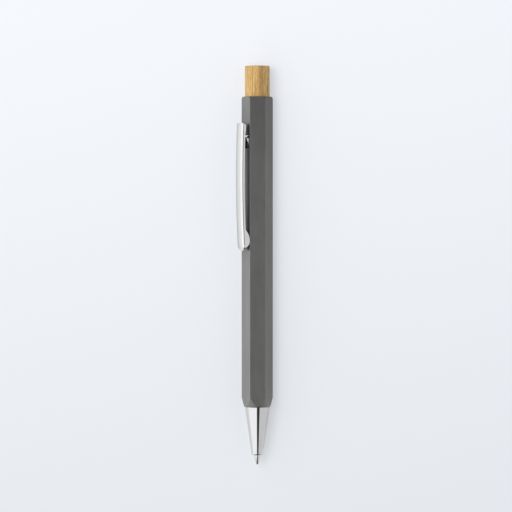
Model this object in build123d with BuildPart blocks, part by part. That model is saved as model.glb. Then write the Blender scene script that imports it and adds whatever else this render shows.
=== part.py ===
"""Retractable ballpoint pen: hexagonal aluminium barrel, bamboo button, folded clip and click mechanism.

The pen lies on one flat of its barrel. The origin is on that flat, at the middle of the barrel's length,
+Y points to the button and +Z up. The refill stands written out, as the latch holds it. Millimetres.
"""

import os
from math import cos, pi, radians, sin, sqrt

from build123d import *

# Barrel
across_flats = 9.5
corner_radius = 0.12
barrel_length = 108.6
bore_radius = 3.8
mouth_depth = 8.3
front_rim_radius = 4.41
front_cone_length = 3.25
back_rim_radius = 5.18
back_cone_length = 0.7
rim_break = 0.12

# Clip slot through the barrel's wall
slot_length = 4.9
slot_setback = 13.2
slot_corner_radius = 0.5
hook_clearance = 0.15

# Nose cone
nose_length = 17.25
nose_end_radius = 1.95
nose_end_round = 0.75
nose_hole_radius = 1.25
nose_edge_break = 0.1
spigot_length = 6.0
spigot_clearance = 0.05
spigot_chamfer = 0.4
thread_relief_width = 0.8
thread_relief_depth = 0.3
spring_seat_depth = 7.0
spring_room = 0.25

# Return spring
spring_radius = 2.0
spring_wire = 0.4
spring_wire_sides = 5
spring_turns = 11
spring_length = 18.3
seat_clearance = 0.05

# Refill
tip_reach = 3.2
tip_radius = 1.15
tip_cone_length = 3.1
tip_rim_radius = 0.47
tip_rim_depth = 0.24
tip_spigot_length = 4.5
ink_passage_radius = 0.3
ball_radius = 0.4
ball_clearance = 0.02
tube_radius = 1.5
tube_wall = 0.45
ear_reach = 2.35
ear_width = 0.8
ear_length = 2.2
ear_slope = 1.0
ink_length = 62.0
ink_clearance = 0.01
follower_length = 4.0

# Click mechanism
retract_travel = 5.0
overpress_travel = 1.3
travel_clearance = 0.35
index_angle = 45.0
cam_count = 4
sleeve_length = 22.0
sleeve_inner_radius = 2.6
stop_ring_length = 2.45
rib_inner_radius = 2.12
rib_width = 0.9
rib_length = 11.5
rib_root = 0.2
cam_clearance = 0.35
slide_clearance = 0.05
key_length = 2.0
key_clearance = 0.1
stem_radius = 2.0
plunger_neck = 1.4
crown_depth = 0.6
crown_gap = 0.1
rotor_length = 9.2
socket_depth = 3.3
fin_reach = 2.5
fin_width = 0.75
fin_length = 3.0

# Bamboo button
button_radius = 4.35
button_reach = 10.9
button_clearance = 0.07
button_edge_round = 0.3
stem_seat_depth = 10.0
glue_gap = 0.02
glue_pocket = 0.2

# Clip
clip_face_angle = 30.0
clip_length = 44.6
clip_setback = 9.35
clip_width = 4.5
clip_sheet = 0.4
clip_crown = 0.25
clip_bend_radius = 0.4
flange_depth = 1.38
clip_lift_back = 2.73
clip_lift_middle = 3.15
clip_lift_front = 2.35
clip_front_taper = 2.6
clip_back_round = 0.4
clip_rest_gap = 0.03
lobe_setback = 4.0
lobe_chord = 6.9
bulge_chord = 3.6
bulge_depth = 0.2
hook_thickness = 0.4
hook_reach = 1.4
hook_spur_width = 0.8
hook_spur_gap = 0.45
hook_neck_width = 0.35
hook_notch_width = 0.3
hook_notch_depth = 0.3
hook_plate_lift = 0.9
hook_nose_lift = 0.1
overrun = 1.0

# Places along the pen
axis_height = across_flats / 2
barrel_front = -barrel_length / 2
barrel_back = barrel_length / 2
mouth_floor = barrel_back - mouth_depth
mouth_radius = button_radius + button_clearance
corner_reach = across_flats / sqrt(3) - corner_radius * (2 / sqrt(3) - 1)
nose_front = barrel_front - nose_length
spigot_back = barrel_front + spigot_length
spring_seat = nose_front + spring_seat_depth
ear_front = spring_seat + spring_length
tip_front = nose_front - tip_reach
ball_y = tip_front + ball_radius
tube_front = spring_seat + overpress_travel + travel_clearance
tube_bore_radius = tube_radius - tube_wall
tip_back = tube_front + tip_spigot_length
stop_ring_front = mouth_floor - stop_ring_length
rib_front = stop_ring_front - rib_length
key_back = stop_ring_front - retract_travel - travel_clearance
key_front = key_back - key_length
key_radius = sleeve_inner_radius - slide_clearance
plunger_front = key_front - plunger_neck - crown_depth
rotor_back = plunger_front - crown_gap
rotor_front = rotor_back - rotor_length
tube_back = rotor_front + socket_depth
fin_back = rib_front - cam_clearance
button_front = mouth_floor + overpress_travel + travel_clearance
button_back = barrel_back + button_reach
stem_back = button_front + stem_seat_depth
slot_back = barrel_back - slot_setback
slot_front = slot_back - slot_length
clip_back = barrel_back - clip_setback
clip_front = clip_back - clip_length

# The ramp on ribs and fins climbs the retract travel in one index step of the rotor
ramp_slope = retract_travel / radians(index_angle) / ((rib_inner_radius + sleeve_inner_radius) / 2)

pen_axis = Axis((0, 0, axis_height), (0, 1, 0))
profile_plane = Plane.XY.offset(axis_height)


def cross_section(y):
    """Plane across the pen at a place along it: x to the clip's side, y up, looking along +Y."""
    return Plane(origin=(0, y, axis_height), x_dir=(-1, 0, 0), z_dir=(0, 1, 0))


def radial_plane(angle):
    """Plane through the axis seen from outside at an angle: x round the pen, y along it."""
    turn = radians(angle)
    outward = (-cos(turn), 0, sin(turn))
    around = (sin(turn), 0, cos(turn))
    return Plane(origin=(0, 0, axis_height), x_dir=around, z_dir=outward)


def cam_angles():
    """Angles of the ribs, and of the fins at rest, clear of the clip's hooks."""
    step = 360 / cam_count
    return [clip_face_angle + step / 2 + step * i for i in range(cam_count)]


# Barrel: hexagonal bar with rounded corners, turned at both ends and bored
turned_outline = [
    (0, barrel_front),
    (front_rim_radius, barrel_front),
    (corner_reach, barrel_front + front_cone_length),
    (corner_reach, barrel_back - back_cone_length),
    (back_rim_radius, barrel_back - rim_break),
    (back_rim_radius - rim_break, barrel_back),
    (0, barrel_back),
]
bore_outline = [
    (0, barrel_front - overrun),
    (bore_radius, barrel_front - overrun),
    (bore_radius, mouth_floor),
    (mouth_radius, mouth_floor),
    (mouth_radius, barrel_back + overrun),
    (0, barrel_back + overrun),
]
clip_plane = radial_plane(clip_face_angle)
hook_outer = clip_width / 2
slot_width = 2 * (hook_outer + hook_clearance)
with BuildPart() as barrel:
    with BuildSketch(cross_section(barrel_front)):
        RegularPolygon(radius=axis_height, side_count=6, major_radius=False)
        fillet(vertices(), corner_radius)
    extrude(amount=barrel_length)
    with BuildSketch(profile_plane):
        with BuildLine():
            Polyline(*turned_outline, close=True)
        make_face()
    revolve(axis=pen_axis, mode=Mode.INTERSECT)
    with BuildSketch(profile_plane):
        with BuildLine():
            Polyline(*bore_outline, close=True)
        make_face()
    revolve(axis=pen_axis, mode=Mode.SUBTRACT)
    with BuildSketch(clip_plane):
        with Locations((0, (slot_front + slot_back) / 2)):
            RectangleRounded(slot_width, slot_length, slot_corner_radius)
    extrude(amount=axis_height + overrun, mode=Mode.SUBTRACT)

# Nose cone: turned shell with a rounded end, spring chamber and threaded spigot
spigot_radius = bore_radius - spigot_clearance
spring_bore_radius = spring_radius + spring_wire / 2 + spring_room
nose_outline = [
    (nose_hole_radius, nose_front),
    (nose_end_radius, nose_front),
    (front_rim_radius, barrel_front - nose_edge_break),
    (front_rim_radius - nose_edge_break, barrel_front),
    (spigot_radius - thread_relief_depth, barrel_front),
    (spigot_radius - thread_relief_depth, barrel_front + thread_relief_width),
    (spigot_radius, barrel_front + thread_relief_width + thread_relief_depth),
    (spigot_radius, spigot_back - spigot_chamfer),
    (spigot_radius - spigot_chamfer, spigot_back),
    (spring_bore_radius, spigot_back),
    (spring_bore_radius, spring_seat),
    (nose_hole_radius, spring_seat),
]
with BuildPart() as nose_cone:
    with BuildSketch(profile_plane) as nose_section:
        with BuildLine():
            Polyline(*nose_outline, close=True)
        make_face()
        nose_end_corner = nose_section.vertices().sort_by_distance((nose_end_radius, nose_front, 0))[0]
        fillet(nose_end_corner, min(nose_end_round, nose_end_radius - nose_hole_radius))
    revolve(axis=pen_axis)

# Bamboo button: turned rod with a rounded top edge and a blind hole for the plunger's stem
with BuildPart() as bamboo_button:
    with BuildSketch(cross_section(button_front)):
        Circle(button_radius)
    extrude(amount=button_back - button_front)
    fillet(bamboo_button.edges().group_by(Axis.Y)[-1], button_edge_round)
    with BuildSketch(cross_section(button_front)):
        Circle(stem_radius + glue_gap)
    extrude(amount=stem_seat_depth + glue_pocket, mode=Mode.SUBTRACT)

# Plunger: stem with a grooved key ring that slides on the sleeve's ribs, and a crown of teeth
crown_step = 360 / cam_count / 2
key_groove_width = rib_width + 2 * key_clearance
crown_half_width = stem_radius * radians(crown_step) / 2
with BuildPart() as plunger:
    with BuildSketch(cross_section(plunger_front)):
        Circle(stem_radius)
    extrude(amount=stem_back - plunger_front)
    with BuildSketch(cross_section(key_front)):
        Circle(key_radius)
        Circle(stem_radius, mode=Mode.SUBTRACT)
        with PolarLocations((stem_radius + key_radius) / 2, cam_count, start_angle=cam_angles()[0]):
            Rectangle(key_radius - stem_radius + overrun, key_groove_width, mode=Mode.SUBTRACT)
    extrude(amount=key_length)
    for i in range(cam_count):
        with BuildSketch(radial_plane(cam_angles()[0] + (i + 1 / 2) * crown_step)):
            with BuildLine():
                Polyline(
                    (-crown_half_width, plunger_front),
                    (0, plunger_front + crown_depth),
                    (crown_half_width, plunger_front),
                    close=True,
                )
            make_face()
        extrude(amount=key_radius, both=True, mode=Mode.SUBTRACT)

# Cam sleeve: bush with a stop ring at its back, ribs with ramped ends and pockets for the clip's hooks
hook_middle = hook_outer - clip_sheet / 2
toe_outer = sqrt(bore_radius**2 - hook_outer**2) - hook_clearance
toe_inner = toe_outer - hook_thickness
pocket_front = slot_front - hook_reach - 2 * hook_clearance
pocket_middle = (pocket_front + slot_back) / 2
sleeve_outline = [
    (sleeve_inner_radius, mouth_floor - sleeve_length),
    (bore_radius, mouth_floor - sleeve_length),
    (bore_radius, mouth_floor),
    (stem_radius + slide_clearance, mouth_floor),
    (stem_radius + slide_clearance, stop_ring_front),
    (sleeve_inner_radius, stop_ring_front),
]
ramp_rise = ramp_slope * rib_width / 2
with BuildPart() as cam_sleeve:
    with BuildSketch(profile_plane):
        with BuildLine():
            Polyline(*sleeve_outline, close=True)
        make_face()
    revolve(axis=pen_axis)
    for angle in cam_angles():
        with BuildSketch(radial_plane(angle).offset(rib_inner_radius)):
            with BuildLine():
                Polyline(
                    (-rib_width / 2, rib_front - ramp_rise),
                    (rib_width / 2, rib_front + ramp_rise),
                    (rib_width / 2, stop_ring_front),
                    (-rib_width / 2, stop_ring_front),
                    close=True,
                )
            make_face()
        extrude(amount=sleeve_inner_radius - rib_inner_radius + rib_root)
    with BuildSketch(clip_plane.offset(toe_inner - hook_clearance)):
        with Locations((hook_middle, pocket_middle), (-hook_middle, pocket_middle)):
            Rectangle(clip_sheet + 2 * hook_clearance, slot_back - pocket_front)
    extrude(amount=bore_radius, mode=Mode.SUBTRACT)

# Rotor: latch piece with ramped fins, a crown that faces the plunger's and a socket for the refill
fin_rise = ramp_slope * fin_width / 2
with BuildPart() as rotor:
    with BuildSketch(cross_section(rotor_front)):
        Circle(stem_radius)
    extrude(amount=rotor_length)
    with BuildSketch(cross_section(rotor_front)):
        Circle(tube_radius + slide_clearance)
    extrude(amount=socket_depth, mode=Mode.SUBTRACT)
    for i in range(cam_count):
        with BuildSketch(radial_plane(cam_angles()[0] + i * crown_step)):
            with BuildLine():
                Polyline(
                    (-crown_half_width, rotor_back),
                    (0, rotor_back - crown_depth),
                    (crown_half_width, rotor_back),
                    close=True,
                )
            make_face()
        extrude(amount=key_radius, both=True, mode=Mode.SUBTRACT)
    for angle in cam_angles():
        with BuildSketch(radial_plane(angle).offset(stem_radius - rib_root)):
            with BuildLine():
                Polyline(
                    (-fin_width / 2, fin_back - fin_length),
                    (fin_width / 2, fin_back - fin_length),
                    (fin_width / 2, fin_back + fin_rise),
                    (-fin_width / 2, fin_back - fin_rise),
                    close=True,
                )
            make_face()
        extrude(amount=fin_reach - stem_radius + rib_root)

# Refill tube: ink tube with two pinched ears that the spring bears on
with BuildPart() as refill_tube:
    with BuildSketch(cross_section(tube_front)):
        Circle(tube_radius)
    extrude(amount=tube_back - tube_front)
    with BuildSketch(profile_plane):
        for side in (-1, 1):
            with BuildLine():
                Polyline(
                    (side * tube_bore_radius, ear_front),
                    (side * ear_reach, ear_front),
                    (side * ear_reach, ear_front + ear_length - ear_slope),
                    (side * tube_bore_radius, ear_front + ear_length),
                    close=True,
                )
            make_face()
    extrude(amount=ear_width / 2, both=True)
    with BuildSketch(cross_section(tube_front)):
        Circle(tube_bore_radius)
    extrude(amount=tube_back - tube_front, mode=Mode.SUBTRACT)

# Refill tip: turned metal point with the ball's seat, pressed into the tube
seat_radius = ball_radius + ball_clearance
tip_outline = [
    (0, tip_front + tip_rim_depth),
    (tip_rim_radius, tip_front + tip_rim_depth),
    (tip_radius, tip_front + tip_cone_length),
    (tip_radius, tube_front),
    (tube_bore_radius, tube_front),
    (tube_bore_radius, tip_back),
    (0, tip_back),
]
with BuildPart() as refill_tip:
    with BuildSketch(profile_plane):
        with BuildLine():
            Polyline(*tip_outline, close=True)
        make_face()
    revolve(axis=pen_axis)
    with Locations((0, ball_y, axis_height)):
        Sphere(seat_radius, mode=Mode.SUBTRACT)
    with BuildSketch(cross_section(ball_y)):
        Circle(ink_passage_radius)
    extrude(amount=tip_back - ball_y, mode=Mode.SUBTRACT)

# Writing ball
with BuildPart() as writing_ball:
    with Locations((0, ball_y, axis_height)):
        Sphere(ball_radius)

# Ink column, from the ball's seat back into the tube
ink_back = tip_back + ink_length
ink_outline = [
    (0, ball_y + seat_radius),
    (ink_passage_radius - ink_clearance, ball_y + seat_radius),
    (ink_passage_radius - ink_clearance, tip_back),
    (tube_bore_radius - ink_clearance, tip_back),
    (tube_bore_radius - ink_clearance, ink_back),
    (0, ink_back),
]
with BuildPart() as ink_column:
    with BuildSketch(profile_plane):
        with BuildLine():
            Polyline(*ink_outline, close=True)
        make_face()
    revolve(axis=pen_axis)

# Grease follower behind the ink
with BuildPart() as grease_follower:
    with BuildSketch(cross_section(ink_back)):
        Circle(tube_bore_radius - ink_clearance)
    extrude(amount=follower_length)

# Return spring: one wire, faceted for lightness, wound as a helix from the nose's seat to the refill's ears
spring_front = spring_seat + spring_wire / 2 + seat_clearance
spring_back = ear_front - spring_wire / 2 - seat_clearance
spring_pitch = (spring_back - spring_front) / spring_turns


def helix_place(turn):
    """Point of the wire's centre line after a number of turns."""
    angle = 2 * pi * turn
    return Vector(
        spring_radius * cos(angle),
        spring_front + spring_pitch * turn,
        axis_height + spring_radius * sin(angle),
    )


def helix_heading(turn):
    """Direction of the wire's centre line after a number of turns."""
    angle = 2 * pi * turn
    around = 2 * pi * spring_radius
    return Vector(-around * sin(angle), spring_pitch, around * cos(angle)).normalized()


def biarc_joint(start, start_heading, end, end_heading):
    """Point where two tangent arcs of equal reach meet between two places, and the heading there."""
    chord = end - start
    along = chord.dot(start_heading + end_heading)
    spread = 2 * (1 - start_heading.dot(end_heading))
    reach = (sqrt(along**2 + spread * chord.dot(chord)) - along) / spread
    first = start + start_heading * reach
    last = end - end_heading * reach
    return (first + last) * (1 / 2), (last - first).normalized()


with BuildPart() as return_spring:
    with BuildLine() as spring_line:
        for half_turn in range(2 * spring_turns):
            turns = half_turn / 2, (half_turn + 1) / 2
            places = [helix_place(turn) for turn in turns]
            headings = [helix_heading(turn) for turn in turns]
            joint, joint_heading = biarc_joint(places[0], headings[0], places[1], headings[1])
            TangentArc(places[0], joint, tangent=headings[0])
            TangentArc(joint, places[1], tangent=joint_heading)
    with BuildSketch(Plane(origin=helix_place(0), z_dir=helix_heading(0))):
        RegularPolygon(spring_wire / 2, spring_wire_sides)
    sweep()

samples_per_turn = 24
spring_points = [helix_place(i / samples_per_turn) for i in range(spring_turns * samples_per_turn + 1)]
spring_gap = min(
    (one - other).length
    for i, one in enumerate(spring_points)
    for other in spring_points[i + samples_per_turn // 2 :]
) - spring_wire
print(f"return spring: least gap between turns {spring_gap:.2f} mm")

# Clip: channel folded from sheet along a shallow arc, with lobes at its mouth and hooks in the slot
clip_side = Plane(origin=(0, 0, axis_height), x_dir=clip_plane.z_dir, z_dir=-clip_plane.x_dir)
clip_middle = (clip_front + clip_back) / 2


def clip_surface(y):
    """Distance of the clip's outer face from the pen's axis at a place along it."""
    share = (y - clip_middle) / (clip_length / 2)
    ends_mean = (clip_lift_front + clip_lift_back) / 2
    lean = (clip_lift_back - clip_lift_front) / 2
    return axis_height + clip_lift_middle + lean * share + (ends_mean - clip_lift_middle) * share**2


def flange_edge(y):
    """Distance of the flanges' free edge from the pen's axis at a place along it."""
    return clip_surface(y) - flange_depth


lobe_middle = clip_front + lobe_setback
bulge_middle = clip_back - bulge_chord / 2
lobe_crest = axis_height + clip_rest_gap
bulge_crest = flange_edge(bulge_middle) - bulge_depth
flange_lobes = [(lobe_middle, lobe_chord, lobe_crest), (bulge_middle, bulge_chord, bulge_crest)]
flange_root = flange_depth / 2
flange_setback = lobe_setback - lobe_chord / 2
bend_end = clip_surface(clip_front) - clip_crown - clip_bend_radius
spur_back = slot_back - 2 * hook_clearance
spur_front = spur_back - hook_spur_width
neck_front = spur_back - hook_neck_width
plate_back = spur_front - hook_notch_width
hook_outline = [
    (flange_edge(spur_back) + flange_root, spur_back),
    (flange_edge(spur_front) + flange_root, spur_front),
    (axis_height + hook_spur_gap, spur_front),
    (axis_height + hook_spur_gap, neck_front),
    (axis_height - hook_notch_depth, neck_front),
    (axis_height - hook_notch_depth, plate_back),
    (axis_height + hook_plate_lift, plate_back),
    (axis_height + hook_nose_lift, slot_front + hook_reach),
    (toe_outer, slot_front + hook_clearance),
    (toe_outer, slot_front - hook_reach),
    (toe_inner, slot_front - hook_reach),
    (toe_inner, slot_front),
    (toe_outer + hook_thickness, spur_back),
]


def channel_lines(half_width, crest, edge):
    """Outline of a channel with a crowned web, from its crest down to its flanges' edges."""
    ThreePointArc((-half_width, crest + clip_crown), (0, crest), (half_width, crest + clip_crown))
    Polyline(
        (half_width, crest + clip_crown),
        (half_width, edge),
        (-half_width, edge),
        (-half_width, crest + clip_crown),
    )


with BuildPart() as clip:
    with BuildLine(clip_side) as clip_line:
        ThreePointArc(
            (clip_surface(clip_front), clip_front),
            (clip_surface(clip_middle), clip_middle),
            (clip_surface(clip_back), clip_back),
        )
    mouth_plane = Plane(origin=clip_line.line @ 0, x_dir=clip_plane.x_dir, z_dir=clip_line.line % 0)
    with BuildSketch(mouth_plane) as channel:
        with BuildLine():
            channel_lines(clip_width / 2, 0, flange_depth)
        make_face()
        fillet(channel.vertices().group_by(Axis.Y)[0], clip_bend_radius)
        with BuildLine():
            channel_lines(clip_width / 2 - clip_sheet, clip_sheet, flange_depth + overrun)
        make_face(mode=Mode.SUBTRACT)
    sweep()
    for side in (-1, 1):
        with BuildSketch(clip_side.offset(side * hook_middle)):
            for middle, chord, crest in flange_lobes:
                first = middle - chord / 2
                last = middle + chord / 2
                with BuildLine():
                    ThreePointArc((flange_edge(first), first), (crest, middle), (flange_edge(last), last))
                    Polyline(
                        (flange_edge(last), last),
                        (flange_edge(last) + flange_root, last),
                        (flange_edge(first) + flange_root, first),
                        (flange_edge(first), first),
                    )
                make_face()
        extrude(amount=clip_sheet / 2, both=True)
        with BuildSketch(clip_side.offset(side * hook_middle)):
            with BuildLine():
                Polyline(*hook_outline, close=True)
            make_face()
        extrude(amount=clip_sheet / 2, both=True)
    with BuildSketch(clip_plane.offset(flange_edge(clip_front) - overrun)):
        with Locations((0, clip_front - overrun)):
            Rectangle(clip_width + overrun, flange_setback + overrun, align=(Align.CENTER, Align.MIN))
    extrude(amount=bend_end - flange_edge(clip_front) + overrun, mode=Mode.SUBTRACT)
    with BuildSketch(clip_plane.offset(bend_end)):
        with Locations((0, clip_front - overrun)):
            Rectangle(clip_width + overrun, clip_front_taper + overrun, align=(Align.CENTER, Align.MIN))
        with Locations((0, clip_front + clip_front_taper)):
            Ellipse(clip_width / 2, clip_front_taper, mode=Mode.SUBTRACT)
    extrude(amount=flange_depth, mode=Mode.SUBTRACT)
    with BuildSketch(clip_plane.offset(flange_edge(clip_back) - overrun)):
        with Locations((0, clip_back + overrun)):
            Rectangle(clip_width + overrun, clip_back_round + overrun, align=(Align.CENTER, Align.MAX))
        with Locations((0, clip_middle)):
            RectangleRounded(clip_width, clip_length, clip_back_round, mode=Mode.SUBTRACT)
    extrude(amount=flange_depth + 2 * overrun, mode=Mode.SUBTRACT)

pieces = {
    "barrel": barrel,
    "nose_cone": nose_cone,
    "clip": clip,
    "bamboo_button": bamboo_button,
    "plunger": plunger,
    "cam_sleeve": cam_sleeve,
    "rotor": rotor,
    "return_spring": return_spring,
    "refill_tube": refill_tube,
    "refill_tip": refill_tip,
    "writing_ball": writing_ball,
    "ink_column": ink_column,
    "grease_follower": grease_follower,
}
os.makedirs("parts", exist_ok=True)
for piece_name, piece in pieces.items():
    piece.part.label = piece_name
    export_step(piece.part, f"parts/{piece_name}.step")
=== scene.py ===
"""Dresses a push-button ballpoint pen: satin hexagonal barrel, bamboo button, chromed clip and nose.

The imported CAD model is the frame. Lengths are millimetres in the frame's axes (the pen lies on a flat of its
barrel, +Y to the button, +Z up) and become metres when a mesh is handed to the scene.
"""

import logging
import math
from dataclasses import dataclass
from enum import Enum
from typing import Any, Callable, Iterable, Sequence

import bmesh
import bpy
from mathutils import Matrix, Vector


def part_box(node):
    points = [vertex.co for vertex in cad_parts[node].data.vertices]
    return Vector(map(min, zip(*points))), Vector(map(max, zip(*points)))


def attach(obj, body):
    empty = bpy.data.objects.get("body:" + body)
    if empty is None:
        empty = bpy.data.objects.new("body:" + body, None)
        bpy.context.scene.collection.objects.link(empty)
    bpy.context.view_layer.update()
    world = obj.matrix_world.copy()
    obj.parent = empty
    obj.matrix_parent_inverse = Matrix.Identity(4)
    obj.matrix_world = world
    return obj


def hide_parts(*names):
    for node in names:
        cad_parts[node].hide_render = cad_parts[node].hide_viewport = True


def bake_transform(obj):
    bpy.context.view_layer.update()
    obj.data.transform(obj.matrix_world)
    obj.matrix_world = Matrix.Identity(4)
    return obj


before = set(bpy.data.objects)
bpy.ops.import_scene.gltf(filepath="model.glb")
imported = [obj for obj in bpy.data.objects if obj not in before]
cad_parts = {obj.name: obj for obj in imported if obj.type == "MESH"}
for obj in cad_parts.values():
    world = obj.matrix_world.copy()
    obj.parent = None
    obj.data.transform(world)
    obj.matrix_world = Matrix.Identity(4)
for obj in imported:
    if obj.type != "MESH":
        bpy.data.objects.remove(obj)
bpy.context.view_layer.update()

LOG = logging.getLogger("pen")
MM = 0.001
FULL_TURN = 2 * math.pi
QUARTER_TURN = math.pi / 2
HALF_FLAT = math.radians(30)  # half the angle that one flat of the barrel spans
WELD = 1e-4  # millimetres within which points are one
CUT_TOLERANCE = 1e-5  # millimetres within which a point lies on a cut
NOISE_MEAN = 0.5
EVEN_CLIMB = (0.35, 0.65)  # range of noise that splits a surface into even halves with soft borders
SRGB_KNEE = 0.04045
SRGB_SLOPE = 12.92
SRGB_OFFSET = 0.055
SRGB_POWER = 2.4

Colour = tuple[float, float, float, float]


class Body(Enum):
    """Bodies of the frame that the new pieces ride on."""

    BARREL = "barrel"
    NOSE = "nose"
    CLIP = "clip"
    BUTTON = "button"
    REFILL = "refill"


class Slot(Enum):
    """Material slots of the record."""

    ALUMINIUM = "anodised_aluminium"
    CHROME = "chrome_plate"
    BAMBOO = "bamboo"
    BLACK_ACETAL = "black_acetal"
    WHITE_ACETAL = "white_acetal"
    SPRING_STEEL = "spring_steel"
    REFILL_PLASTIC = "refill_plastic"
    TIP_METAL = "tip_metal"
    BALL_CARBIDE = "ball_carbide"
    INK = "ink"
    GREASE = "grease"


class Side(Enum):
    """The two sides of the clip's channel, as signs across its width."""

    LOWER = -1
    UPPER = 1


def srgb(red: int, green: int, blue: int) -> Colour:
    """Turns a colour as a screen shows it into linear light.

    Args:
        red: Red from 0 to 255.
        green: Green from 0 to 255.
        blue: Blue from 0 to 255.

    Returns:
        The linear colour with full opacity.
    """
    shares = [channel / 255 for channel in (red, green, blue)]
    linear = [
        share / SRGB_SLOPE if share <= SRGB_KNEE else ((share + SRGB_OFFSET) / (1 + SRGB_OFFSET)) ** SRGB_POWER
        for share in shares
    ]
    return (*linear, 1.0)


def reach_along(node: str) -> tuple[float, float]:
    """Finds where a CAD node starts and ends along the pen.

    Args:
        node: Name of the CAD node.

    Returns:
        Its front and its back on the Y axis, in millimetres.
    """
    low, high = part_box(node)
    return low.y / MM, high.y / MM


AXIS_HEIGHT = (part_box("barrel")[0].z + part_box("barrel")[1].z) / 2 / MM
PEN_AXIS = Vector((0.0, 0.0, AXIS_HEIGHT))
ALONG = Vector((0.0, 1.0, 0.0))
CLIP_OUT = Vector((-math.cos(HALF_FLAT), 0.0, math.sin(HALF_FLAT)))
CLIP_ACROSS = Vector((math.sin(HALF_FLAT), 0.0, math.cos(HALF_FLAT)))


# Shader graphs


class Value:
    """A shader socket that adds Math nodes when it stands in an expression."""

    def __init__(self, graph: "Graph", socket: bpy.types.NodeSocket) -> None:
        """Wraps one output socket of a graph."""
        self.graph = graph
        self.socket = socket

    def _math(self, operation: str, first: Any, second: Any) -> "Value":
        """Adds one Math node on two values or numbers."""
        return self.graph.node("ShaderNodeMath", {"operation": operation}, {0: first, 1: second})

    def __add__(self, other: Any) -> "Value":
        """Adds a value or number."""
        return self._math("ADD", self, other)

    def __radd__(self, other: Any) -> "Value":
        """Adds this value to a number."""
        return self._math("ADD", other, self)

    def __sub__(self, other: Any) -> "Value":
        """Subtracts a value or number."""
        return self._math("SUBTRACT", self, other)

    def __rsub__(self, other: Any) -> "Value":
        """Subtracts this value from a number."""
        return self._math("SUBTRACT", other, self)

    def __mul__(self, other: Any) -> "Value":
        """Multiplies by a value or number."""
        return self._math("MULTIPLY", self, other)

    def __rmul__(self, other: Any) -> "Value":
        """Multiplies a number by this value."""
        return self._math("MULTIPLY", other, self)

    def __abs__(self) -> "Value":
        """Drops the sign."""
        return self._math("ABSOLUTE", self, 0.0)

    def at_least(self, other: Any) -> "Value":
        """Gives the larger of this and a value or number."""
        return self._math("MAXIMUM", self, other)

    def scaled(self, level: "Value") -> "Value":
        """Multiplies a colour by a level."""
        return self.graph.node("ShaderNodeVectorMath", {"operation": "SCALE"}, {0: self, "Scale": level})

    def step(self, low: float, high: float) -> "Value":
        """Climbs smoothly from 0 to 1.

        Args:
            low: Value at which the climb starts.
            high: Value at which it has ended.

        Returns:
            The climbing value.
        """
        settings = {"interpolation_type": "SMOOTHSTEP"}
        return self.graph.node("ShaderNodeMapRange", settings, {"Value": self, "From Min": low, "From Max": high})


@dataclass(frozen=True)
class Pattern:
    """Noise that a finish lays on a piece.

    Attributes:
        stretch: Grains per millimetre along X, Y and Z.
        detail: Octaves of finer noise.
        distortion: How far the pattern is warped.
        climb: Range of the noise over which it becomes a mask from 0 to 1, where it is one.
    """

    stretch: tuple[float, float, float]
    detail: float = 2.0
    distortion: float = 0.0
    climb: tuple[float, float] | None = None


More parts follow.
